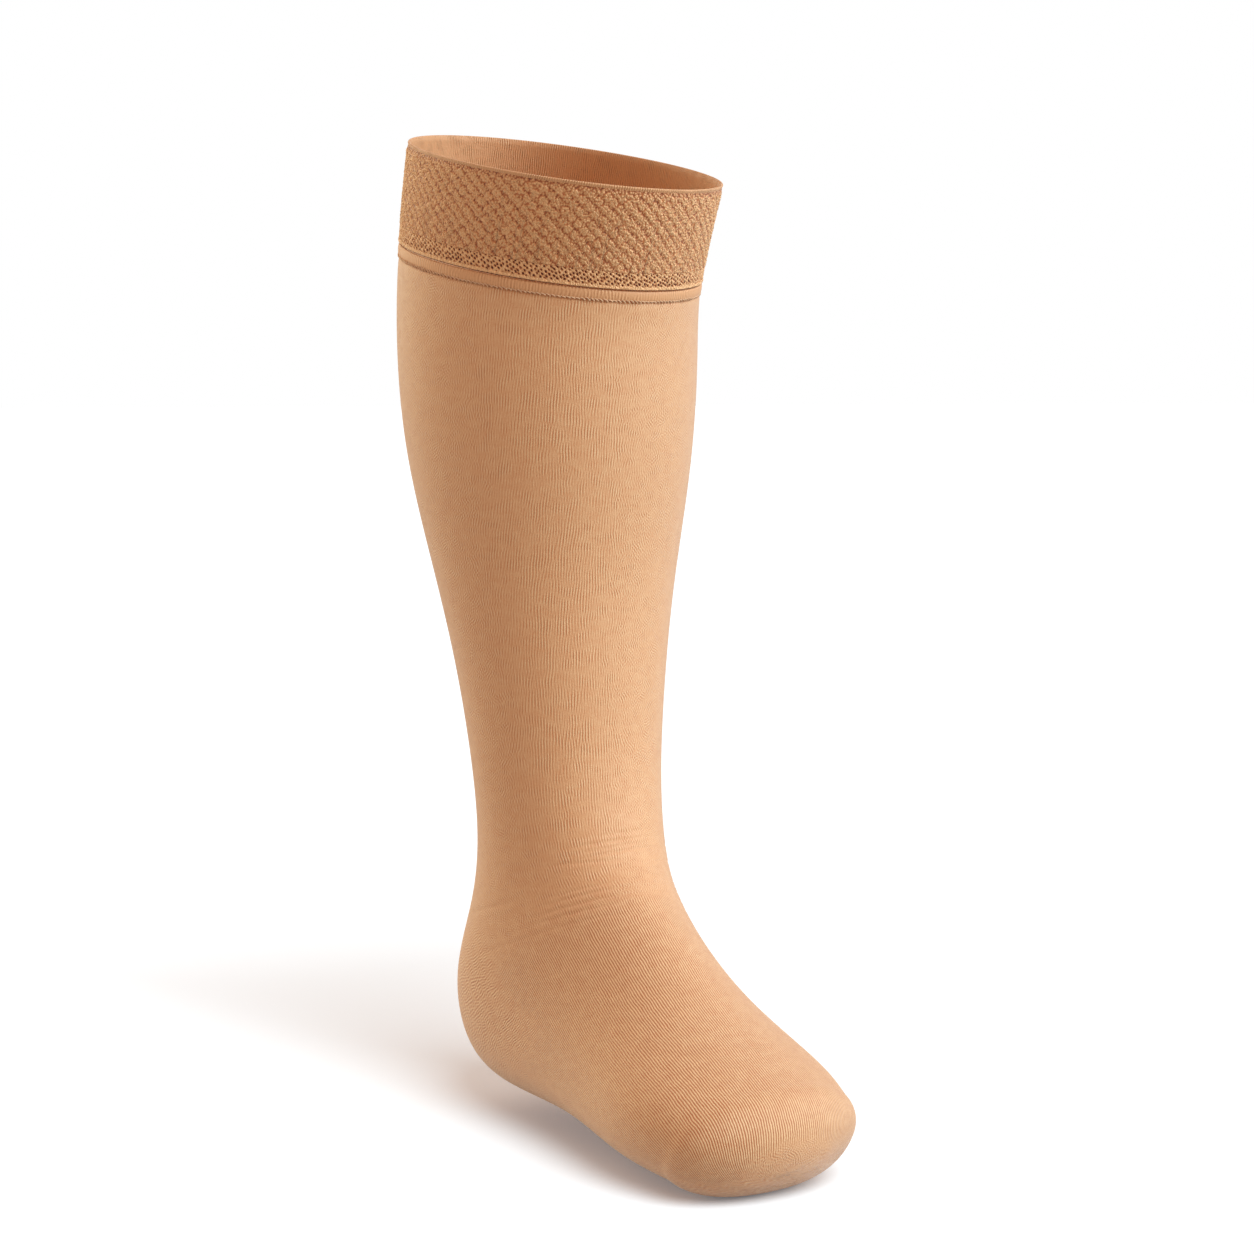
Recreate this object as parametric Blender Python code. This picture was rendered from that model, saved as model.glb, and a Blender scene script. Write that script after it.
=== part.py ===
"""A knee-high compression stocking, standing hollow as it is worn.

Three knitted pieces follow one leg form: a textured elastic band at the top, the narrow smooth strip
that it is sewn to, and the leg with its heel, foot and closed toe, knitted in one tube.
Sizes in the tables are in millimetres. The toe points along -Y and the leg stands along +Z."""

import bmesh
import bpy
import numpy as np

MM = 0.001

# Cloth: how far each piece's wall reaches in and out from the leg form, and how long it is.
LEG_WALL = 1.2
STRIP_PROUD = 0.5
BAND_PROUD = 0.9
BAND_HEIGHT = 42.5
STRIP_HEIGHT = 4.6
SEAM_GAP = 0.3

# The leg form as a dressmaker's stations from the rim to the toes. Each is a closed section that leans
# from its front point to its back point. Forward is towards the toe, up is from the ground.
COLUMNS = ("front_forward", "front_up", "back_forward", "back_up", "width", "sole_squareness")
STATIONS = {
    "rim":          (94, 392, -55, 424, 124, 2.0),
    "band_bottom":  (77, 352, -61, 382, 124, 2.0),
    "below_knee":   (72, 321, -61, 338, 126, 2.0),
    "calf":         (68, 280, -54, 288, 121, 2.0),
    "lower_calf":   (61, 235, -38, 238, 106, 2.0),
    "shin":         (59, 197, -26, 194, 92, 2.0),
    "above_ankle":  (59, 160, -18, 152, 83, 2.0),
    "ankle":        (63, 134, -17, 117, 79, 2.0),
    "ankle_bone":   (69, 119, -25, 85, 80, 2.0),
    "heel_top":     (77, 110, -37, 50, 83, 2.1),
    "heel":         (88, 100, -27, 22, 83, 2.3),
    "instep":       (104, 87, 6, 11, 81, 2.5),
    "arch":         (127, 70, 61, 10, 85, 2.6),
    "ball":         (155, 54, 110, 5, 95, 2.6),
    "toes":         (172, 45, 145, 0, 88, 2.4),
}
TOE_TIP = (181, 14)          # forward, up
LAST = len(STATIONS) - 1     # the toe cap runs from station LAST to LAST + 1

# The origin is where the band grips the leg: the middle of the band.
GRIP = (14, 388)             # forward, up

AROUND = 48                  # points in each section
LEG_ROWS_PER_STATION = 2
TOE_CAP_ROWS = 5
BAND_ROWS = 4


def smooth_rows(rows, at):
    """A natural cubic spline through the rows, read at fractional row numbers: straight blending plus
    the bend that keeps slope and curvature continuous from row to row."""
    count = len(rows)
    matrix = np.eye(count)
    bend_target = np.zeros_like(rows)
    for row in range(1, count - 1):
        matrix[row, row - 1:row + 2] = 1, 4, 1
        bend_target[row] = 6 * (rows[row + 1] - 2 * rows[row] + rows[row - 1])
    bend = np.linalg.solve(matrix, bend_target)
    low = np.clip(np.floor(at).astype(int), 0, count - 2)
    part = (at - low)[:, None]
    rest = 1 - part
    return (rest * rows[low] + part * rows[low + 1]
            + ((rest ** 3 - rest) * bend[low] + (part ** 3 - part) * bend[low + 1]) / 6)


def sections(at):
    """Centre, half depth, half width and squareness of the sections at station numbers. Past the last
    station the centre moves to the toe tip by a sine and the section shrinks by a cosine."""
    rows = smooth_rows(np.array(list(STATIONS.values()), float), np.minimum(at, LAST))
    front, back = rows[:, 0:2], rows[:, 2:4]
    turn = np.clip(at - LAST, 0, 1)[:, None] * np.pi / 2
    centre = (front + back) / 2
    centre = centre + np.sin(turn) * (np.array(TOE_TIP, float) - centre)
    half_depth = np.cos(turn) * (front - back) / 2
    half_width = np.cos(turn[:, 0]) * rows[:, 4] / 2
    return centre, half_depth, half_width, rows[:, 5]


def station_at(distances):
    """Station numbers at these distances, in mm, down the middle of the leg from the rim."""
    numbers = np.linspace(0, LAST, 40 * LAST + 1)
    centre = sections(numbers)[0]
    steps = np.linalg.norm(np.diff(centre, axis=0), axis=1)
    return np.interp(distances, np.concatenate([[0], np.cumsum(steps)]), numbers)


def rings(at):
    """Rings of points in metres. Each is an ellipse, squared off on its back or sole half by a
    superellipse: a direction divided by its own length in the power of the squareness."""
    centre, half_depth, half_width, squareness = sections(at)
    angle = np.arange(AROUND) * 2 * np.pi / AROUND
    ahead, side = np.cos(angle), np.sin(angle)
    power = np.where(ahead < 0, squareness[:, None], 2.0)
    reach = (np.abs(ahead) ** power + np.abs(side) ** power) ** (-1 / power)
    forward = centre[:, :1] + half_depth[:, :1] * ahead * reach - GRIP[0]
    up = centre[:, 1:] + half_depth[:, 1:] * ahead * reach - GRIP[1]
    across = half_width[:, None] * side * reach
    return np.stack([across, -forward, up], axis=-1) * MM


def knit(name, colour):
    """Brushed nylon and elastane knit: matt, with no shine."""
    material = bpy.data.materials.new(name)
    material.use_nodes = True
    surface = material.node_tree.nodes["Principled BSDF"]
    surface.inputs["Base Color"].default_value = (*colour, 1)
    surface.inputs["Roughness"].default_value = 0.85
    surface.inputs["Metallic"].default_value = 0
    return material


def add_tube(name, at, wall_in, wall_out, material, closed_toe=False):
    """A skin through the rings, with faces out, which Solidify turns to a wall that reaches wall_in mm
    inside the leg form and wall_out mm outside it."""
    loops = rings(at)
    mesh_data = bmesh.new()
    rows = [[mesh_data.verts.new(point) for point in ring] for ring in loops]
    for upper, lower in zip(rows, rows[1:]):
        for here in range(AROUND):
            after = (here + 1) % AROUND
            mesh_data.faces.new((upper[here], lower[here], lower[after], upper[after]))
    if closed_toe:
        tip = mesh_data.verts.new(rings(np.array([LAST + 1.0]))[0, 0])
        for here in range(AROUND):
            mesh_data.faces.new((rows[-1][here], tip, rows[-1][(here + 1) % AROUND]))
    bmesh.ops.recalc_face_normals(mesh_data, faces=mesh_data.faces)
    mesh = bpy.data.meshes.new(name)
    mesh_data.to_mesh(mesh)
    mesh_data.free()
    mesh.shade_smooth()
    piece = bpy.data.objects.new(name, mesh)
    piece.data.materials.append(material)
    bpy.context.scene.collection.objects.link(piece)
    wall = piece.modifiers.new("wall", "SOLIDIFY")
    wall.thickness = (wall_in + wall_out) * MM
    wall.offset = (wall_out - wall_in) / (wall_out + wall_in)
    wall.use_even_offset = True
    return piece


def add_top_band():
    """The elastic band, from the rim down to the joining strip."""
    at = station_at(np.linspace(0, BAND_HEIGHT, BAND_ROWS + 1))
    add_tube("top_band", at, LEG_WALL, BAND_PROUD, knit("band_knit", (0.40, 0.19, 0.085)))


def add_joining_strip():
    """The smooth strip that the band is sewn to."""
    top = BAND_HEIGHT + SEAM_GAP
    at = station_at(np.array([top, top + STRIP_HEIGHT]))
    add_tube("joining_strip", at, LEG_WALL, STRIP_PROUD, knit("strip_knit", (0.56, 0.32, 0.17)))


def add_leg_and_foot():
    """The tube from the strip to the closed toe, finest in its rows where the toe rounds in."""
    top = station_at(np.array([BAND_HEIGHT + STRIP_HEIGHT + 2 * SEAM_GAP]))
    first_whole = int(np.ceil(top[0]))
    along = np.linspace(first_whole, LAST, (LAST - first_whole) * LEG_ROWS_PER_STATION + 1)
    cap = LAST + np.arange(1, TOE_CAP_ROWS) / TOE_CAP_ROWS
    at = np.concatenate([top, along, cap])
    add_tube("leg_and_foot", at, LEG_WALL, 0, knit("leg_knit", (0.62, 0.34, 0.17)), closed_toe=True)


for leftover in list(bpy.data.objects):
    bpy.data.objects.remove(leftover)
add_top_band()
add_joining_strip()
add_leg_and_foot()
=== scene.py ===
"""A knee-high compression stocking, hollow as it is worn: a finely ribbed leg and foot in one knitted
tube, a smooth joining strip, and a textured elastic top band.

Sizes in the tables are in millimetres. The toe points along -Y, the leg stands along +Z, and the origin
is in the middle of the top band, where it grips the leg."""

import bpy
import numpy as np
from mathutils import Matrix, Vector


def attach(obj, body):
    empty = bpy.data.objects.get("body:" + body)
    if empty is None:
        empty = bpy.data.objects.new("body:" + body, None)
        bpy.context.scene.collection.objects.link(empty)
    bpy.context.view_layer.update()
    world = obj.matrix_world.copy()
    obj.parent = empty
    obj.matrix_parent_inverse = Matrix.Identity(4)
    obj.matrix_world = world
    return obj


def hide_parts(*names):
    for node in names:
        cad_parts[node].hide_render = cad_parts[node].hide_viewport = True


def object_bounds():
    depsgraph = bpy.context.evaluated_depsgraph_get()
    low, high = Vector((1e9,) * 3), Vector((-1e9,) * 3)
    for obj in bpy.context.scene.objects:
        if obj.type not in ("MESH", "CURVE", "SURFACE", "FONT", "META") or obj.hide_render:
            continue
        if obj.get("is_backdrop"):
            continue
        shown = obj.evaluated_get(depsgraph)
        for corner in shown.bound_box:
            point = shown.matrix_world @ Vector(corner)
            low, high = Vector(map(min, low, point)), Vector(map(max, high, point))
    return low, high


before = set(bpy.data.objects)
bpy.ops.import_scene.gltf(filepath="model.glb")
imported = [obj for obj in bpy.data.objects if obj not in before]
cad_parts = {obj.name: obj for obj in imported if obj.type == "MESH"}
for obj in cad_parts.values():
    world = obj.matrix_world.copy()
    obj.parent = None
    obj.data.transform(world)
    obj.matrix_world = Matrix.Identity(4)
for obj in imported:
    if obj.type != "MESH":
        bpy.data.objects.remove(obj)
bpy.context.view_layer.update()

# ---------------------------------------------------------------------------------------------------
# Leg and foot
# One seamless tube of nylon and elastane, knitted round and round on a small cylinder of needles. Its
# stitches stack into fine upright ribs, which follow the leg down and along the foot, and turn to
# rounds at the heel pocket and the closed toe.

MM = 0.001
GRIP = (14, 388)             # the origin, as forward and up from the ground under the foot
LEG_WALL = 1.2

# Each row is a section of the leg, which leans from its front point to its back point. The columns are
# the front point's forward and up, the back point's forward and up, the width, and how square the back
# or sole half is. Forward is towards the toe and up is from the ground.
STATIONS = {
    "rim":          (94, 392, -55, 424, 124, 2.0),
    "band_bottom":  (77, 352, -61, 382, 124, 2.0),
    "below_knee":   (72, 321, -61, 338, 126, 2.0),
    "calf":         (68, 280, -54, 288, 121, 2.0),
    "lower_calf":   (61, 235, -38, 238, 106, 2.0),
    "shin":         (59, 197, -26, 194, 92, 2.0),
    "above_ankle":  (59, 160, -18, 152, 83, 2.0),
    "ankle":        (63, 134, -17, 117, 79, 2.0),
    "ankle_bone":   (69, 119, -25, 85, 80, 2.0),
    "heel_top":     (77, 110, -37, 50, 83, 2.1),
    "heel":         (88, 100, -27, 22, 83, 2.3),
    "instep":       (104, 87, 6, 11, 81, 2.5),
    "arch":         (127, 70, 61, 10, 85, 2.6),
    "ball":         (155, 54, 110, 5, 95, 2.6),
    "toes":         (172, 45, 145, 0, 88, 2.4),
}
TOE_TIP = (181, 14)
LAST = len(STATIONS) - 1

LEG_RIB, FOOT_RIB = 1.2, 1.07        # spacing of the ribs
COURSE = 1.3                         # spacing of the rounds at the heel

# Soft creases where the ankle bends: in front and below, two fainter ones towards the heel, then those of
# the other side and of the back. The columns are station, turn, spread, rise, width and depth. Turn is
# degrees round from the front, spread is half the crease's length in degrees, and rise is how many
# stations it climbs over that half length.
CREASES = (
    (7.27, 2, 27, 0.04, 1.1, 0.26),
    (7.45, -4, 33, 0.03, 1.0, 0.38),
    (7.59, 2, 30, 0.06, 1.0, 0.32),
    (7.74, -2, 32, 0.08, 1.0, 0.38),
    (7.95, -24, 28, -0.14, 1.1, 0.28),
    (8.36, -88, 26, -0.16, 1.6, 0.16),
    (8.82, -22, 28, -0.11, 1.0, 0.26),
    (9.02, -24, 31, -0.14, 1.0, 0.33),
    (9.26, -26, 33, -0.19, 1.0, 0.35),
    (9.47, -31, 34, -0.26, 1.0, 0.33),
    (9.72, -35, 30, -0.30, 1.1, 0.25),
    (9.36, -74, 20, -0.20, 1.3, 0.12),
    (7.64, 66, 24, -0.05, 1.0, 0.26),
    (8.05, 62, 28, 0.06, 1.1, 0.24),
    (8.66, 68, 30, 0.10, 1.1, 0.26),
    (8.86, 66, 34, 0.13, 1.0, 0.32),
    (9.06, 62, 32, 0.15, 1.0, 0.32),
    (9.31, 60, 28, 0.20, 1.1, 0.24),
    (9.60, 56, 24, 0.24, 1.2, 0.20),
    (7.10, 168, 30, 0.04, 1.7, 0.24),
    (7.62, -178, 38, -0.05, 1.8, 0.32),
    (8.05, 174, 30, 0.05, 1.7, 0.26),
)


def smooth_rows(rows, at):
    """A natural cubic spline through the rows, read at fractional row numbers: straight blending plus
    the bend that keeps slope and curvature continuous from row to row."""
    count = len(rows)
    matrix = np.eye(count)
    bend_target = np.zeros_like(rows)
    for row in range(1, count - 1):
        matrix[row, row - 1:row + 2] = 1, 4, 1
        bend_target[row] = 6 * (rows[row + 1] - 2 * rows[row] + rows[row - 1])
    bend = np.linalg.solve(matrix, bend_target)
    low = np.clip(np.floor(at).astype(int), 0, count - 2)
    part = (at - low)[:, None]
    rest = 1 - part
    return (rest * rows[low] + part * rows[low + 1]
            + ((rest ** 3 - rest) * bend[low] + (part ** 3 - part) * bend[low + 1]) / 6)


def leg_form(at, turn):
    """The cloth's outer face in metres, for station numbers and turns in radians from the front. Each
    section is an ellipse, squared off on its back or sole half by a superellipse. Past the last station
    its centre moves to the toe tip by a sine and it shrinks by a cosine."""
    rows = smooth_rows(np.array(list(STATIONS.values()), float), np.minimum(at, LAST))
    front, back = rows[:, 0:2], rows[:, 2:4]
    closing = np.clip(at - LAST, 0, 1)[:, None] * np.pi / 2
    centre = (front + back) / 2
    centre = centre + np.sin(closing) * (np.array(TOE_TIP, float) - centre)
    half_depth = np.cos(closing) * (front - back) / 2
    half_width = np.cos(closing) * rows[:, 4:5] / 2
    ahead, side = np.cos(turn)[None], np.sin(turn)[None]
    power = np.where(ahead < 0, rows[:, 5:6], 2.0)
    reach = (np.abs(ahead) ** power + np.abs(side) ** power) ** (-1 / power)
    forward = centre[:, :1] + half_depth[:, :1] * ahead * reach - GRIP[0]
    up = centre[:, 1:] + half_depth[:, 1:] * ahead * reach - GRIP[1]
    return np.stack([half_width * side * reach, -forward, up], axis=-1) * MM


def station_at(distances):
    """Station numbers at these distances, in mm, down the middle of the leg from the rim."""
    numbers = np.linspace(0, LAST, 40 * LAST + 1)
    middle = leg_form(numbers, np.array([0, np.pi])).mean(axis=1) / MM
    steps = np.linalg.norm(np.diff(middle, axis=0), axis=1)
    return np.interp(distances, np.concatenate([[0], np.cumsum(steps)]), numbers)


def outward(points):
    """Unit normals of rings of points: the way down crossed with the way round."""
    round_it = np.roll(points, -1, axis=1) - np.roll(points, 1, axis=1)
    normal = np.cross(np.gradient(points, axis=0), round_it)
    return normal / np.maximum(np.linalg.norm(normal, axis=2, keepdims=True), 1e-12)


def around(count):
    """Turns from the back, round by the right, front and left, and up to the back again."""
    return np.arange(count) * 2 * np.pi / count - np.pi


def smooth_step(value, low, high):
    """0 below low, 1 above high, and an S curve between."""
    part = np.clip((value - low) / (high - low), 0, 1)
    return part * part * (3 - 2 * part)


def cloth_mesh(name, rings, maps, poles=()):
    """A closed wall of cloth from rings of points, each joined to the next and the last to the first.
    maps holds named coordinates for the rings, with one column more than the rings have. poles holds
    (ring, point) pairs that close a ring with a fan, and the ring after the first isn't joined to it."""
    count, columns = rings.shape[:2]
    upper, column = np.meshgrid(np.arange(count), np.arange(columns), indexing="ij")
    lower = (upper + 1) % count
    corner_ring = np.stack([upper, lower, lower, upper], axis=-1)
    corner_column = np.stack([column, column, column + 1, column + 1], axis=-1)
    if poles:
        joined = np.arange(count) != poles[0][0]
        corner_ring, corner_column = corner_ring[joined], corner_column[joined]
    quads = (corner_ring * columns + corner_column % columns).reshape(-1, 4)
    faces = quads.tolist()
    corners = {key: [grid[corner_ring, corner_column].reshape(-1, 2)] for key, grid in maps.items()}
    points = [rings.reshape(-1, 3)]
    here = np.arange(columns)
    for number, (ring, point) in enumerate(poles):
        after, tip = (here + 1) % columns, np.full(columns, count * columns + number)
        first, second = ring * columns + here, ring * columns + after
        fan = [first, tip, second] if number == 0 else [second, tip, first]
        faces += np.stack(fan, axis=-1).tolist()
        for key, grid in maps.items():
            corners[key].append(np.repeat(grid[ring, :-1], 3, axis=0))
        points.append(np.reshape(point, (1, 3)))
    mesh = bpy.data.meshes.new(name)
    mesh.from_pydata(np.concatenate(points).tolist(), [], faces)
    for key, grids in corners.items():
        mesh.uv_layers.new(name=key).data.foreach_set("uv", np.concatenate(grids).ravel())
    mesh.shade_smooth()
    piece = bpy.data.objects.new(name, mesh)
    bpy.context.scene.collection.objects.link(piece)
    return piece


def mark(piece, name, values, poles=()):
    """Stores one number for each point of the rings. A pole takes the mean of the ring that it closes."""
    values = np.asarray(values, float)
    layer = piece.data.attributes.new(name, "FLOAT", "POINT")
    layer.data.foreach_set("value", np.concatenate([values.ravel(), *[values[ring].mean(keepdims=True)
                                                                      for ring in poles]]))


def knit_map(points):
    """Coordinates in mm for rings of points: round from the front line, and down. The way down is that
    of the whole ring."""
    closed = np.concatenate([points, points[:, :1]], axis=1) / MM
    steps = np.linalg.norm(np.diff(closed, axis=1), axis=2)
    along = np.concatenate([np.zeros((len(points), 1)), np.cumsum(steps, axis=1)], axis=1)
    fall = np.linalg.norm(np.diff(closed, axis=0, prepend=closed[:1]), axis=2).mean(axis=1)
    down = np.broadcast_to(np.cumsum(fall)[:, None], along.shape)
    return np.stack([along - along[:, along.shape[1] // 2, None], down], axis=-1)


def creases(at, turn, points):
    """How far the cloth sinks, in metres: each crease is a bell across its line, fading to its ends,
    with a low swell of the cloth on both sides."""
    down = np.cumsum(np.linalg.norm(np.diff(points, axis=0, prepend=points[:1]), axis=2), axis=0)
    per_station = np.gradient(down, axis=0) / np.gradient(at)[:, None] / MM
    sink = np.zeros(points.shape[:2])
    for station, middle, spread, rise, width, depth in CREASES:
        along = (np.remainder(np.degrees(turn)[None] - middle + 180, 360) - 180) / spread
        across = (at[:, None] - station + rise * along) * per_station / width
        sink += depth * np.exp(-along ** 2 * 1.5) * np.exp(-across ** 2) * (1 - 0.9 * across ** 2)
    return sink * MM


def srgb(hex_colour):
    """A colour written as sRGB hex, as the linear numbers that the shaders take."""
    part = np.array([int(hex_colour[place:place + 2], 16) for place in (0, 2, 4)]) / 255
    linear = np.where(part <= 0.04045, part / 12.92, ((part + 0.055) / 1.055) ** 2.4)
    return (*linear.tolist(), 1.0)


def add(tree, kind, inputs=None, **settings):
    """Adds a node: settings are its own, and inputs are its sockets, each linked or given a value."""
    node = tree.nodes.new(kind)
    for name, value in settings.items():
        setattr(node, name, value)
    for socket, value in (inputs or {}).items():
        if isinstance(value, bpy.types.NodeSocket):
            tree.links.new(value, node.inputs[socket])
        else:
            node.inputs[socket].default_value = value
    return node


def ripples(tree, vector, pitch, patch, order, turned=0.0):
    """Ridges of stitches as Gabor noise, 0 to 1. They are this pitch apart and run on for about this
    patch before they break, both in units of the coordinate. order is 1 for straight ribs and 0 for
    curls that run every way, and turned is the angle of the ribs from upright."""
    value = add(tree, "ShaderNodeTexGabor",
                {"Vector": vector, "Scale": 1 / patch, "Frequency": patch / pitch, "Anisotropy": order,
                 "Orientation": turned}).outputs["Value"]
    return add(tree, "ShaderNodeMapRange", {0: value, 1: 0.28, 2: 0.72}).outputs[0]


CYCLE = np.pi / 10           # a Wave Texture's scale for one wave in each unit of its coordinate


def straight_ribs(tree, vector, pitch, bend, reach):
    """Unbroken ribs as a sine, 0 to 1, this pitch apart. Noise as large as reach pitches moves them by
    up to bend, in radians."""
    return add(tree, "ShaderNodeTexWave",
               {"Vector": vector, "Scale": CYCLE / pitch, "Distortion": bend, "Detail": 2.0,
                "Detail Scale": 1 / (CYCLE * reach), "Detail Roughness": 0.6}).outputs["Fac"]


def mix(tree, weight, low, high):
    """low where weight is 0, and high where it is 1."""
    return add(tree, "ShaderNodeMix", {0: weight, 2: low, 3: high}).outputs[0]


def relief(tree, colour, height, depth, roughness, specular, sheen):
    """Gives the cloth its colour, its relief of this height over depth mm, and its gloss."""
    bump = add(tree, "ShaderNodeBump", {"Strength": 1.0, "Distance": depth * MM, "Height": height}).outputs[0]
    surface = tree.nodes["Principled BSDF"]
    surface.inputs["Roughness"].default_value = roughness
    surface.inputs["Specular IOR Level"].default_value = specular
    surface.inputs["Sheen Weight"].default_value = sheen
    surface.inputs["Sheen Roughness"].default_value = 0.5
    tree.links.new(colour, surface.inputs["Base Color"])
    tree.links.new(bump, surface.inputs["Normal"])


def ragged(tree, zone, noise):
    """A zone's edge broken into patches by the noise."""
    moved = add(tree, "ShaderNodeMath", {0: noise, 1: zone}, operation="ADD").outputs[0]
    return add(tree, "ShaderNodeMapRange", {0: moved, 1: 0.7, 2: 1.3}).outputs[0]


# How many there are in each millimetre: patches of straight or curled ribs, grains of the yarn's fuzz,
# and streaks across, deep and down.
PATCHES, LEG_FUZZ, STREAKS = 0.15, 1.7, (0.2, 0.2, 0.32)


def leg_rib_knit():
    """Fine rib knit of covered elastane, matt with a soft gloss. The ribs are 1.2 mm apart on the leg and
    1.07 mm on the foot. They are straight there, and break into small curls of the crimped yarn
    elsewhere. The grooves are painted darker and redder than the ribs, as painted shade, with a wider
    range on the foot, and the rounds are uneven in streaks."""
    material = bpy.data.materials.new("leg_rib_knit")
    material.use_nodes = True
    tree = material.node_tree
    flat = add(tree, "ShaderNodeUVMap", uv_map="flat").outputs[0]
    place = add(tree, "ShaderNodeTexCoord").outputs["Object"]
    zones = {key: add(tree, "ShaderNodeAttribute", attribute_name=key).outputs["Fac"]
             for key in ("ribbed", "foot", "heel")}
    patches = add(tree, "ShaderNodeTexNoise", {"Vector": place, "Scale": PATCHES / MM, "Detail": 2.0,
                                               "Roughness": 0.6}).outputs["Fac"]
    order = add(tree, "ShaderNodeMath", {0: zones["ribbed"], 1: patches}, operation="ADD").outputs[0]
    order = add(tree, "ShaderNodeMapRange", {0: order, 1: 0.50, 2: 1.20, 3: 0.1, 4: 0.98}).outputs[0]
    leg_ribs = ripples(tree, flat, LEG_RIB, 4.8, order)
    foot_ribs = straight_ribs(tree, flat, FOOT_RIB, 3.4, 9)
    heel_rounds = ripples(tree, flat, COURSE, 3.2, 0.8, np.pi / 2)
    loops = mix(tree, ragged(tree, zones["foot"], patches), leg_ribs, foot_ribs)
    loops = mix(tree, ragged(tree, zones["heel"], patches), loops, heel_rounds)
    fuzz = add(tree, "ShaderNodeTexNoise", {"Vector": place, "Scale": LEG_FUZZ / MM,
                                            "Detail": 2.0}).outputs["Fac"]
    height = mix(tree, 0.38, loops, fuzz)
    level = add(tree, "ShaderNodeMapping", {"Vector": place,
                                            "Scale": tuple(share / MM for share in STREAKS)}).outputs[0]
    streaks = add(tree, "ShaderNodeTexNoise", {"Vector": level, "Scale": 1.0, "Detail": 3.0,
                                               "Roughness": 0.65}).outputs["Fac"]
    uneven_height = mix(tree, 0.25, height, streaks)
    # Painted shade: darker, redder grooves and lighter ribs follow the height, more strongly on the foot. The
    # streaks and fuzz in that height are the yarn's own uneven tone.
    contrast = add(tree, "ShaderNodeMapRange", {0: uneven_height, 1: 0.27, 2: 0.73}).outputs[0]
    groove_shade = add(tree, "ShaderNodeMix", {0: zones["foot"], 6: srgb("d0824c"), 7: srgb("c36e38")},
                 data_type="RGBA").outputs[2]
    ridge = add(tree, "ShaderNodeMix", {0: zones["foot"], 6: srgb("edb883"), 7: srgb("f6c48e")},
                data_type="RGBA").outputs[2]
    colour = add(tree, "ShaderNodeMix", {0: contrast, 6: groove_shade, 7: ridge}, data_type="RGBA").outputs[2]
    relief(tree, colour, height, 0.26, roughness=0.6, specular=0.5, sheen=0.35)
    return material


LEG_TOP = 47.7               # down from the rim to the cut edge under the strip
EDGE_ROLL, EDGE_ROWS = 0.5, 0.8      # how far the cut edge curls in, and over how many rows
ANKLE, ANKLE_REACH = 318, 48         # down from the rim to the middle of the creased stretch, and half of it
LEG_ROWS, LEG_INNER_ROWS, TOE_ROWS, TOE_INNER_ROWS, LEG_COLUMNS = 330, 60, 24, 10, 220


def leg_stations(rows, toe_rows):
    """Stations down the cloth, more than twice as close where the ankle creases as elsewhere, then by
    even angles round the toe cap."""
    length = np.linalg.norm(np.diff(leg_form(np.linspace(0, LAST, 600), np.array([0, np.pi])).mean(1),
                                    axis=0), axis=1).sum() / MM
    down = np.linspace(LEG_TOP, length, 2000)
    closeness = 1 + 1.5 * np.exp(-((down - ANKLE) / ANKLE_REACH) ** 4)
    number = np.cumsum(closeness) - closeness[0]
    cap = LAST + np.arange(1, toe_rows) / toe_rows
    return np.concatenate([station_at(np.interp(np.linspace(0, number[-1], rows), number, down)), cap])


turn = around(LEG_COLUMNS)
at_outer = leg_stations(LEG_ROWS, TOE_ROWS)
at_inner = leg_stations(LEG_INNER_ROWS, TOE_INNER_ROWS)[::-1]
outer = leg_form(at_outer, turn)
outer_map = knit_map(outer)
edge_roll = EDGE_ROLL * np.exp(-np.arange(len(at_outer)) / EDGE_ROWS)[:, None, None] * MM
outer = outer - outward(outer) * (creases(at_outer, turn, outer)[..., None] + edge_roll)
inner = leg_form(at_inner[::-1], turn)
inner_map = knit_map(inner)
inner = (inner - outward(inner) * LEG_WALL * MM)[::-1]
tip = leg_form(np.array([LAST + 1.0]), turn)[0, 0]
leg = cloth_mesh("leg_and_foot_knit", np.concatenate([outer, inner]),
                 {"flat": np.concatenate([outer_map, inner_map[::-1]])},
                 poles=((len(outer) - 1, tip), (len(outer), tip + np.array([0, LEG_WALL * MM, 0]))))

# Where each kind of stitch lies, from 0 to 1. The leg's ribs come and go round it, the foot's leave its
# sole and the tip of its toe, and the heel's rounds lie behind.
at_all = np.concatenate([at_outer, at_inner])[:, None]
side = np.degrees(np.abs(turn))[None]
on_foot = smooth_step(at_all, 8.5, 10.3)
worn_plain = smooth_step(side, 104, 124) + smooth_step(at_all, LAST + 0.55, LAST + 0.85)
leg_poles = (len(outer) - 1, len(outer))
mark(leg, "ribbed", (0.55 + 0.45 * np.cos(3 * (turn + 0.55))[None]) * (1 - on_foot), leg_poles)
mark(leg, "foot", on_foot * (1 - np.clip(worn_plain, 0, 1)), leg_poles)
mark(leg, "heel", (smooth_step(side, 72, 100) * smooth_step(at_all, 7.8, 9.4)
                   * (1 - smooth_step(at_all, 10.8, 11.6))), leg_poles)
leg.data.materials.append(leg_rib_knit())
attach(leg, "root")
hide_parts("leg_and_foot")

# ---------------------------------------------------------------------------------------------------
# Joining strip
# A narrow doubled strip of plain knit, crowned by its own thickness. The band is sewn to its upper
# edge, and a row of small linking stitches joins its lower edge to the leg.

STRIP_TOP, STRIP_HEIGHT, STRIP_COLUMNS = 42.8, 4.6, 360
STRIP_CROWN, STRIP_SUNK = 0.42, 0.5  # how far its middle stands out of the leg's face, and its edges in
TOP_STRETCH = 60             # the strip and the band lie within this much of the rim
PLAIN_FUZZ = 1.3             # grains of fuzz in each millimetre


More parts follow.
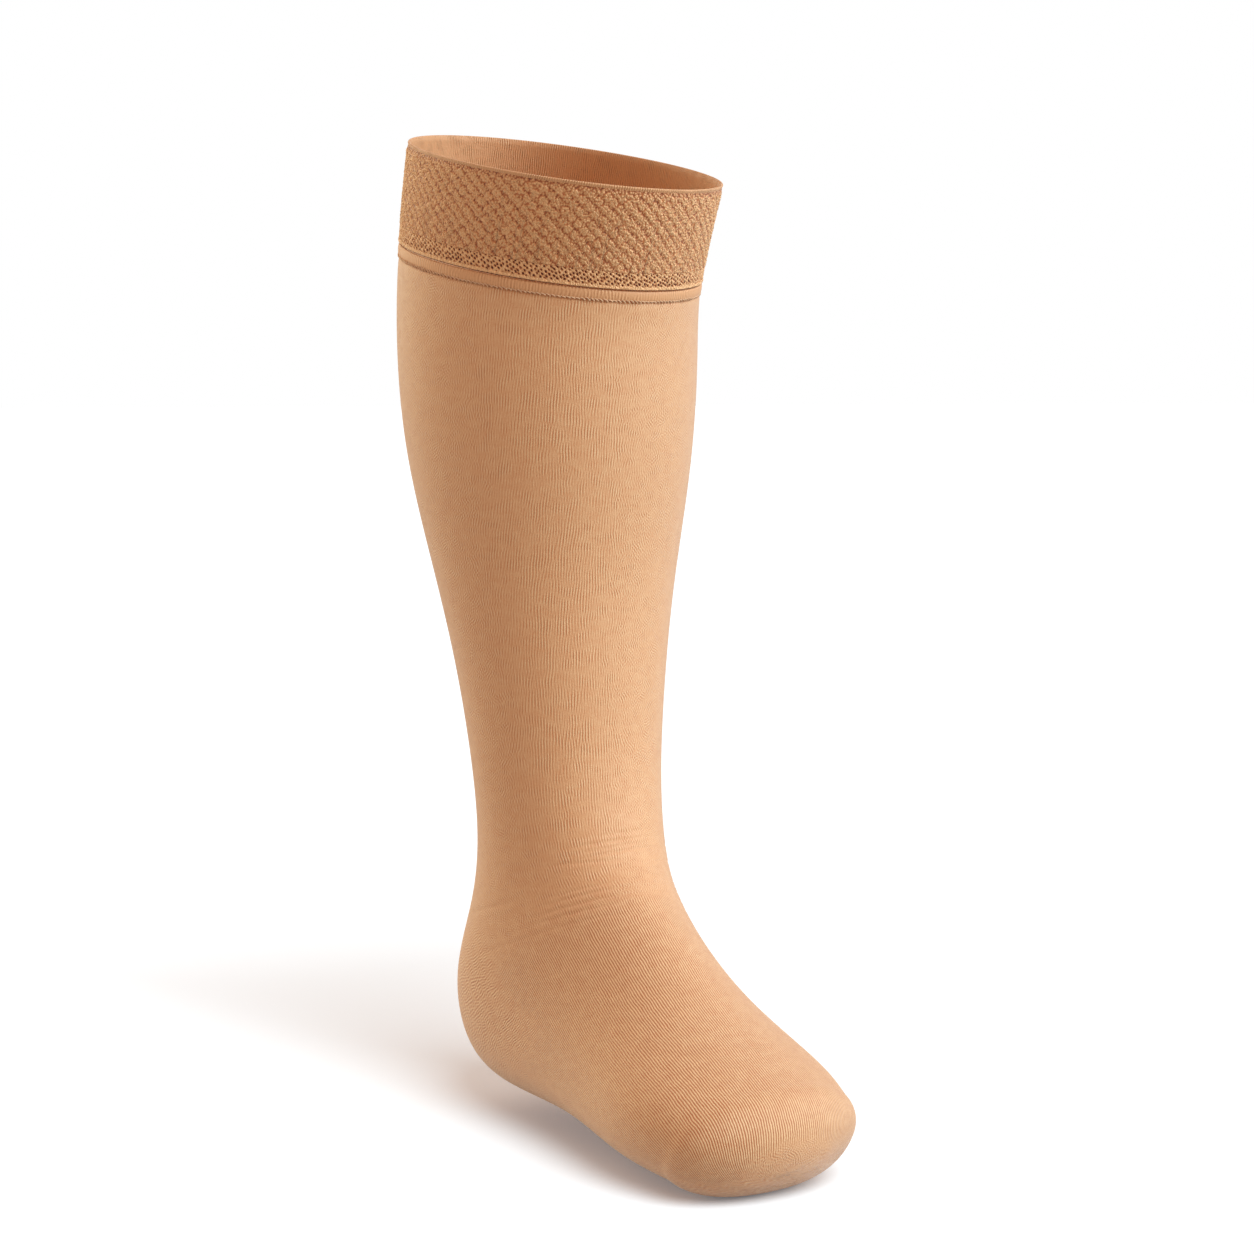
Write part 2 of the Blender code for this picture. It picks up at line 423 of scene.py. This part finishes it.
def carried(profile, columns):
    """Rings that carry a closed profile round the leg. Its points are (distance down from the rim,
    distance out from the leg form), in mm."""
    down, out = np.array(profile, float).T
    turn = around(columns)
    at = station_at(np.linspace(0, TOP_STRETCH, TOP_STRETCH + 1))
    base = leg_form(at, turn)
    normal = outward(base)
    low = np.clip(np.floor(down).astype(int), 0, TOP_STRETCH - 1)
    part = (down - low)[:, None, None]
    points = (1 - part) * base[low] + part * base[low + 1]
    lean = (1 - part) * normal[low] + part * normal[low + 1]
    return points + lean * out[:, None, None] * MM


def plain_knit(name, dark, light, rib, depth):
    """Plain smooth knit of the same yarn, with faint ribs this far apart and this deep, in mm."""
    material = bpy.data.materials.new(name)
    material.use_nodes = True
    tree = material.node_tree
    flat = add(tree, "ShaderNodeUVMap", uv_map="flat").outputs[0]
    place = add(tree, "ShaderNodeTexCoord").outputs["Object"]
    ribs = ripples(tree, flat, rib, 4.0, 0.95)
    fuzz = add(tree, "ShaderNodeTexNoise", {"Vector": place, "Scale": PLAIN_FUZZ / MM,
                                            "Detail": 3.0}).outputs["Fac"]
    height = mix(tree, 0.4, ribs, fuzz)
    # Painted shade: the colour runs from dark in the grooves between the ribs and fuzz to light on top.
    colour = add(tree, "ShaderNodeMix", {0: height, 6: srgb(dark), 7: srgb(light)},
                 data_type="RGBA").outputs[2]
    relief(tree, colour, height, depth, roughness=0.6, specular=0.5, sheen=0.1)
    return material


def flat_map(rings):
    """Coordinates in mm: round the leg, counted at the middle ring, and down each column."""
    closed = np.concatenate([rings, rings[:, :1]], axis=1) / MM
    middle = np.linalg.norm(np.diff(closed[len(rings) // 2], axis=0), axis=1)
    across = np.broadcast_to(np.concatenate([[0], np.cumsum(middle)]), closed.shape[:2])
    down = np.cumsum(np.linalg.norm(np.diff(closed, axis=0, prepend=closed[:1]), axis=2), axis=0)
    return {"flat": np.stack([across, down], axis=-1)}


swing = np.linspace(0, np.pi, 13)
strip_profile = [(STRIP_TOP + STRIP_HEIGHT * (1 - np.cos(a)) / 2,
                  (STRIP_SUNK + STRIP_CROWN) * np.sin(a) ** 0.6 - STRIP_SUNK) for a in swing]
strip_profile += [(STRIP_TOP + STRIP_HEIGHT * part, -LEG_WALL) for part in (0.95, 0.5, 0.05)]
strip_rings = carried(strip_profile, STRIP_COLUMNS)
strip = cloth_mesh("joining_strip_knit", strip_rings, flat_map(strip_rings))
strip.data.materials.append(plain_knit("strip_plain_knit", "be7744", "f4b57e", rib=1.45, depth=0.2))
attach(strip, "root")
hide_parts("joining_strip")

LINK_PITCH, LINK_THREAD, LINK_POINTS, LINK_SIDES = 2.0, 0.26, 12, 6
LINK_BELOW = 0.15            # how far the coil's middle lies below the strip
LINK_SWING, LINK_LIFT = 0.60, 0.28   # half the coil's height and half its depth
LEG_GIRTH = 408.0            # round the leg under the strip
GUIDE_TOP, GUIDE_BOTTOM, GUIDE_STEP, GUIDE_COLUMNS = 44, 52, 0.25, 720  # the face that the thread lies on
WAVES = 7                    # in a wander


def uneven(across, down, girth, scale, seed):
    """A smooth wander between -1 and 1 that closes round the leg: a sum of waves of random direction."""
    generator = np.random.default_rng(seed)
    total = np.zeros(np.broadcast(across, down).shape)
    for _ in range(WAVES):
        turns = np.round(generator.uniform(-1, 1) * girth / scale)
        falls = generator.uniform(-1, 1) / scale
        total += np.sin(2 * np.pi * (turns * across / girth + falls * down + generator.uniform()))
    return total / WAVES


def linking_thread():
    """The thread that is wound over the strip's lower edge: a coil, flattened against the leg, with
    uneven loops. Rings of a round section are carried along it and the last joins the first."""
    count = round(LEG_GIRTH / LINK_PITCH) * LINK_POINTS
    across = np.arange(count) * LEG_GIRTH / count
    wander = uneven(across, 0, LEG_GIRTH, 9, 21)
    coil = 2 * np.pi * np.arange(count) / LINK_POINTS + 1.6 * wander
    size = 0.8 + 0.9 * uneven(across, 0, LEG_GIRTH, 5, 22)
    down = STRIP_TOP + STRIP_HEIGHT + LINK_BELOW + LINK_SWING * size * np.sin(coil)
    out = -0.02 + LINK_LIFT * size * np.cos(coil)
    guide_rows = round((GUIDE_BOTTOM - GUIDE_TOP) / GUIDE_STEP) + 1
    base = carried([(value, 0) for value in np.linspace(GUIDE_TOP, GUIDE_BOTTOM, guide_rows)], GUIDE_COLUMNS)
    normal = outward(base)
    row = (down - GUIDE_TOP) / GUIDE_STEP
    column = (across + 0.35 * LINK_PITCH * np.sin(coil + 0.8)) / LEG_GIRTH * GUIDE_COLUMNS
    low_row, low_column = np.floor(row).astype(int), np.floor(column).astype(int)
    path, lean = 0, 0
    for step_row in (0, 1):
        for step_column in (0, 1):
            part_row, part_column = row - low_row, column - low_column
            share = ((part_row if step_row else 1 - part_row)
                     * (part_column if step_column else 1 - part_column))[:, None]
            place = (low_row + step_row, (low_column + step_column) % GUIDE_COLUMNS)
            path, lean = path + share * base[place], lean + share * normal[place]
    path = path + lean * out[:, None] * MM
    forward = np.roll(path, -1, axis=0) - np.roll(path, 1, axis=0)
    forward = forward / np.linalg.norm(forward, axis=1, keepdims=True)
    side = np.cross(forward, lean)
    side = side / np.linalg.norm(side, axis=1, keepdims=True)
    top = np.cross(side, forward)
    angle = np.arange(LINK_SIDES) * 2 * np.pi / LINK_SIDES
    return path[:, None] + LINK_THREAD * MM * (np.cos(angle)[None, :, None] * side[:, None]
                                               + np.sin(angle)[None, :, None] * top[:, None])


link_rings = linking_thread()
links = cloth_mesh("linking_stitches", link_rings, flat_map(link_rings))
links.data.materials.append(plain_knit("linking_thread", "dfa272", "f8c898", rib=0.8, depth=0.1))
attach(links, "root")

# ---------------------------------------------------------------------------------------------------
# Top band
# A wide elastic band of bulky yarn, knitted in staggered knots with open holes between them, so that
# it grips without cutting in. Its lower edge is a finer net, and its rim is rolled over a plain lining.

BAND_HEIGHT, BAND_GIRTH, NET_TOP = 42.5, 417.0, 34.8
KNOT_ROUND, KNOT_DOWN = 6.3, 2.38      # spacing of the rosettes round the leg, and of their rows
HOLE_ROUND, HOLE_DOWN = 1.85, 1.55     # the same for the holes of the net
DOME, DIMPLE, CHAIN = 1.4, 0.45, 1.3   # half widths of a rosette, of its dimple, and of its chain
PETALS, PETAL_RING, PETAL_WIDTH = 6, 1.05, 0.45        # loops in a rosette, and their ring's radius and width
CHAIN_RISE, DOME_RISE, PETAL_RISE, LOOP_RISE = 0.06, 0.26, 0.42, 0.22  # how high each stands
NET_RISE, HOLE_DEPTH, BEAD_RISE, BEAD_PITCH = 0.42, 0.62, 0.22, 2.0    # the net, its holes, its last row
LOOP = 1.2                   # one loop of the band's yarn
CELL_ROWS = 64               # rows of cells before their random moves repeat
FACE_BACK = 0.35             # how far inside the leg's face the back of the knots and the net lies


def cells(across, down, girth, step_round, step_down, wander, seed):
    """The nearest of a staggered set of middles, each moved at random by up to wander steps: how far
    round and down from it each point is, in mm, and a number of that middle's own, 0 to 1."""
    rounds = round(girth / step_round)
    step = girth / rounds
    moves = np.random.default_rng(seed).uniform(-1, 1, (3, CELL_ROWS, rounds))
    across, down = np.broadcast_arrays(across, down)
    best = np.full(across.shape, np.inf)
    round_off, down_off, own = np.zeros(across.shape), np.zeros(across.shape), np.zeros(across.shape)
    for row_step in (-1, 0, 1):
        row = np.round(down / step_down).astype(int) + row_step
        shift = 0.5 * (row % 2)
        for column_step in (-1, 0, 1):
            column = np.round(across / step - shift).astype(int) + column_step
            move = moves[:, row % CELL_ROWS, column % rounds]
            aside = across - (column + shift + wander * move[0]) * step
            below = down - (row + wander * move[1]) * step_down
            distance = aside ** 2 + below ** 2
            nearer = distance < best
            best = np.where(nearer, distance, best)
            round_off = np.where(nearer, aside, round_off)
            down_off = np.where(nearer, below, down_off)
            own = np.where(nearer, (move[2] + 1) / 2, own)
    return round_off, down_off, own


def band_rings(downs, columns, height):
    """Rings of the band's face at these distances down, raised by height(across, down, girth) in mm."""
    base = carried([(down, 0) for down in downs], columns)
    across = np.arange(columns)[None] * BAND_GIRTH / columns
    out = height(across, np.array(downs)[:, None], BAND_GIRTH)
    return base + outward(base) * out[..., None] * MM


def knots(across, down, girth):
    """Rosettes about 3 mm across: domes round a dimple, each with a ring of six loops of yarn. They stand
    in chains that run down to the right between furrows, and fade towards the rim and sink at the net.
    Other loops, as scattered beads, cover all."""
    moved = across + 0.5 * uneven(across, down, girth, 18, 3)
    down_moved = down + 0.3 * uneven(across, down, girth, 11, 4)
    aside, below, own = cells(moved, down_moved, girth, KNOT_ROUND, KNOT_DOWN, 0.07, 7)
    run, fall = np.array([KNOT_ROUND / 2, KNOT_DOWN]) / np.hypot(KNOT_ROUND / 2, KNOT_DOWN)
    along, off = run * aside + fall * below, run * below - fall * aside
    reach = np.hypot(along / 1.15, off)
    dome = np.exp(-(reach / DOME) ** 3) - 0.55 * np.exp(-(reach / DIMPLE) ** 2)
    chain = np.exp(-(off / CHAIN) ** 4)
    tall = 0.8 + 0.4 * own + 0.5 * uneven(across, down, girth, 7, 5)
    petals = 0.5 + 0.5 * np.cos(PETALS * np.arctan2(off, along) + 6 * own)
    ring = np.exp(-((reach - PETAL_RING) / PETAL_WIDTH) ** 2) * petals
    loop_aside, loop_below, _ = cells(across, down, girth, LOOP, 0.9 * LOOP, 0.3, 9)
    loop = np.exp(-(np.hypot(loop_aside, loop_below) / (0.38 * LOOP)) ** 2)
    raised = CHAIN_RISE * chain + DOME_RISE * dome * tall + PETAL_RISE * ring
    raised = raised * smooth_step(down, 1.8, 4.0) + LOOP_RISE * loop * smooth_step(down, 0.9, 1.8)
    return raised - 1.2 * smooth_step(down, NET_TOP - 0.1, NET_TOP + 0.6)


def net(across, down, girth):
    """A net of small uneven holes in rows that lean down to the right, larger towards the bottom, where
    a row of beads closes it and the edge is rolled under."""
    lean = round(0.45 * girth / (2 * HOLE_DOWN)) * 2 * HOLE_DOWN / girth
    aside, below, own = cells(across, down - lean * across, girth, HOLE_ROUND, HOLE_DOWN, 0.2, 8)
    wide = 0.50 + 0.12 * own + 0.10 * smooth_step(down, NET_TOP, BAND_HEIGHT - 2)
    hole = np.exp(-(np.hypot(aside, below * 1.1) / wide) ** 3)
    hole = hole * (1 - smooth_step(down, BAND_HEIGHT - 2.2, BAND_HEIGHT - 1.4))
    bead = np.exp(-((down - BAND_HEIGHT + 0.95) / 0.5) ** 2)
    bead = bead * (0.6 + 0.4 * np.cos(2 * np.pi * across / BEAD_PITCH))
    raised = NET_RISE - HOLE_DEPTH * hole + BEAD_RISE * bead
    raised = raised - 1.4 * smooth_step(down, BAND_HEIGHT - 0.5, BAND_HEIGHT)
    return raised - 1.2 * (1 - smooth_step(down, NET_TOP - 0.5, NET_TOP))


CURL_PATCHES, CURL_WAVES = 0.60, 1.4  # patches of curls in a millimetre, and waves in each: 1.2 mm apart
BAND_FUZZ = 1.5              # grains of fuzz in each millimetre


def band_knit():
    """Bulky matt knit. The rosettes and the net are in the mesh: the material adds the yarn's own curls
    and loops, 1.2 mm across, and darkens the pits between them, where fibres shade each other."""
    material = bpy.data.materials.new("band_knot_knit")
    material.use_nodes = True
    tree = material.node_tree
    flat = add(tree, "ShaderNodeUVMap", uv_map="flat").outputs[0]
    place = add(tree, "ShaderNodeTexCoord").outputs["Object"]
    raised = add(tree, "ShaderNodeAttribute", attribute_name="raised").outputs["Fac"]
    curls = add(tree, "ShaderNodeTexGabor", {"Vector": flat, "Scale": CURL_PATCHES, "Frequency": CURL_WAVES,
                                             "Anisotropy": 0.0}).outputs["Value"]
    apart = add(tree, "ShaderNodeTexVoronoi", {"Vector": flat, "Scale": 1 / LOOP, "Randomness": 0.9},
                voronoi_dimensions="2D").outputs["Distance"]
    loops = add(tree, "ShaderNodeMapRange", {0: apart, 1: 0.05, 2: 0.65, 3: 1.0, 4: 0.0}).outputs[0]
    fuzz = add(tree, "ShaderNodeTexNoise", {"Vector": place, "Scale": BAND_FUZZ / MM,
                                            "Detail": 3.0}).outputs["Fac"]
    height = mix(tree, 0.15, mix(tree, 0.72, curls, loops), fuzz)
    shown = mix(tree, 0.48, raised, height)
    # Painted shade: the colour is darkest in the net's holes, the furrows and the pits between loops, and
    # lightest on the raised tops.
    contrast = add(tree, "ShaderNodeMapRange", {0: shown, 1: 0.25, 2: 0.62}).outputs[0]
    shades = add(tree, "ShaderNodeValToRGB", {"Fac": contrast})
    shades.color_ramp.elements.new(0.35)
    for stop, shade in zip(shades.color_ramp.elements, ("642a08", "c9713a", "ffbd80")):
        stop.color = srgb(shade)
    relief(tree, shades.outputs["Color"], height, 0.9, roughness=0.55, specular=0.45, sheen=0.1)
    return material


def band_piece(name, downs, columns, height, lowest, highest):
    """A closed wall: the raised face, and a plain back just inside the leg form. raised is stored as 0
    at the lowest height of the face and 1 at the highest, both in mm."""
    face = band_rings(downs, columns, height)
    back = carried([(down, -FACE_BACK) for down in np.linspace(downs[-1], downs[0], 4)], columns)
    rings = np.concatenate([face, back])
    piece = cloth_mesh(name, rings, flat_map(rings))
    across = np.arange(columns)[None] * BAND_GIRTH / columns
    raised = (height(across, np.array(downs)[:, None], BAND_GIRTH) - lowest) / (highest - lowest)
    mark(piece, "raised", np.concatenate([np.clip(raised, 0, 1), np.zeros(back.shape[:2])]))
    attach(piece, "root")
    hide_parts("top_band")
    return piece


band_material = band_knit()
lattice = band_piece("top_band_knots", np.linspace(0.9, NET_TOP + 0.6, 86), 1100, knots, -0.35, 0.70)
lattice.data.materials.append(band_material)
edge_net = band_piece("top_band_net", np.linspace(NET_TOP - 0.5, BAND_HEIGHT, 30), 1400, net, -0.15, 0.45)
edge_net.data.materials.append(band_material)

# The plain lining, and the rim that is rolled from it over the top of the knots.
LINING_INSIDE, LINING_BACK = 1.2, 0.45       # how far inside the leg's face its two sides lie
LINING_BOTTOM = 42.2
ROLL, ROLL_INSIDE = 0.55, 0.25       # radius of the rolled rim, and how far inside its middle lies
over = np.linspace(-np.pi / 2, np.pi * 0.62, 12)
lining_profile = [(down, -LINING_INSIDE) for down in np.linspace(LINING_BOTTOM, 1.4, 30)]
lining_profile += [(ROLL - ROLL * np.cos(a), ROLL * np.sin(a) - ROLL_INSIDE) for a in over]
lining_profile += [(down, -LINING_BACK) for down in np.linspace(3.0, LINING_BOTTOM, 6)]
lining_rings = carried(lining_profile, 360)
lining = cloth_mesh("top_band_lining", lining_rings, flat_map(lining_rings))
lining.data.materials.append(plain_knit("lining_knit", "b46f3c", "f2b47c", rib=1.0, depth=0.4))
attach(lining, "root")
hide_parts("top_band")

# ---------------------------------------------------------------------------------------------------
# Setting
# A plain white floor with a lamp of its own. The stocking is lit by large soft lamps from the right and
# above, and by another from behind on the left.

low, high = (np.array(corner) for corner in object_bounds())
centre = (low + high) / 2
FLOOR_HALF = 40.0
floor_mesh = bpy.data.meshes.new("floor")
floor_corners = [(x * FLOOR_HALF, y * FLOOR_HALF, low[2]) for x, y in ((-1, -1), (1, -1), (1, 1), (-1, 1))]
floor_mesh.from_pydata(floor_corners, [], [(0, 1, 2, 3)])
floor = bpy.data.objects.new("floor", floor_mesh)
bpy.context.scene.collection.objects.link(floor)
paper = bpy.data.materials.new("white_paper")
paper.use_nodes = True
paper_tree = paper.node_tree
paper_surface = paper_tree.nodes["Principled BSDF"]
paper_surface.inputs["Roughness"].default_value = 1.0
paper_surface.inputs["Specular IOR Level"].default_value = 0.0
seen = add(paper_tree, "ShaderNodeLightPath").outputs["Is Camera Ray"]
paper_colour = add(paper_tree, "ShaderNodeMix", {0: seen, 6: srgb("bababa"), 7: srgb("f6f6f6")},
                   data_type="RGBA").outputs[2]
glow = add(paper_tree, "ShaderNodeMath", {0: seen, 1: 0.14}, operation="MULTIPLY").outputs[0]
paper_surface.inputs["Emission Color"].default_value = (0.94, 0.95, 1, 1)
paper_tree.links.new(paper_colour, paper_surface.inputs["Base Color"])
paper_tree.links.new(glow, paper_surface.inputs["Emission Strength"])
floor_mesh.materials.append(paper)
floor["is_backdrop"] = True

world = bpy.data.worlds.new("white_room")
world.use_nodes = True
bpy.context.scene.world = world
room = world.node_tree
path = add(room, "ShaderNodeLightPath")
direct = add(room, "ShaderNodeMath", {0: path.outputs["Is Camera Ray"], 1: path.outputs["Is Glossy Ray"]},
             operation="MAXIMUM").outputs[0]
through = add(room, "ShaderNodeMath", {0: direct, 1: path.outputs["Is Transmission Ray"]},
              operation="MAXIMUM").outputs[0]
sky = add(room, "ShaderNodeMix", {0: through, 6: (0.585, 0.479, 0.411, 1), 7: (1, 1, 1, 1)},
          data_type="RGBA").outputs[2]
room.links.new(sky, room.nodes["Background"].inputs["Color"])


def direction(azimuth, elevation):
    """The unit vector towards an azimuth in degrees, 0 in front of the toe and growing to the
    stocking's own left, and an elevation above the floor."""
    turned, raised = np.radians(azimuth), np.radians(elevation)
    return np.array([np.sin(turned) * np.cos(raised), -np.cos(turned) * np.cos(raised), np.sin(raised)])


def facing(position, target):
    """The matrix of a lamp or camera at position that looks at target, with no roll."""
    back = (position - target) / np.linalg.norm(position - target)
    right = np.cross([0, 0, 1], back)
    right = right / np.linalg.norm(right)
    matrix = np.eye(4)
    matrix[:3] = np.stack([right, np.cross(back, right), back, position], axis=1)
    return Matrix(matrix.tolist())


def lamp(name, azimuth, elevation, power, colour, lights):
    """A lamp far away behind a large diffuser, which spreads it over 40 degrees of the sky. It shines
    on one collection: the floor has a lamp of its own, as a lit table has."""
    light = bpy.data.lights.new(name, "SUN")
    light.angle, light.energy, light.color = np.radians(40), power, colour
    holder = bpy.data.objects.new(name, light)
    bpy.context.scene.collection.objects.link(holder)
    holder.matrix_world = facing(centre + direction(azimuth, elevation) * 2, centre)
    holder.light_linking.receiver_collection = lights


def gathered(name, pieces):
    """A collection of these pieces, for a lamp to shine on."""
    group = bpy.data.collections.new(name)
    bpy.context.scene.collection.children.link(group)
    for piece in pieces:
        group.objects.link(piece)
    return group


stocking = gathered("stocking", (leg, strip, links, lattice, edge_net, lining))
lamp("side", 46, 15, 2.0, (0.57, 0.85, 1.0), stocking)
lamp("key", 36, 40, 2.13, (0.64, 0.81, 1.0), stocking)
lamp("rim", 197, 15, 1.35, (1.0, 0.98, 0.60), stocking)
lamp("front", -10, 40, 3.65, (0.73, 0.90, 1.0), gathered("ground", (floor,)))

eye = bpy.data.cameras.new("eye")
eye.lens, eye.sensor_width, eye.clip_end = 80, 36, 200
camera = bpy.data.objects.new("eye", eye)
bpy.context.scene.collection.objects.link(camera)
EYE_AZIMUTH, EYE_ELEVATION, EYE_DISTANCE = -34.0, 4.9, 1.154
towards_eye = direction(EYE_AZIMUTH, EYE_ELEVATION)
eye_right = direction(EYE_AZIMUTH + 90, 0)
aim = centre + eye_right * 2.9 * MM + np.cross(towards_eye, eye_right) * 3.2 * MM
camera.matrix_world = facing(aim + towards_eye * EYE_DISTANCE, aim)
bpy.context.scene.camera = camera
bpy.context.scene.view_settings.view_transform = "Standard"
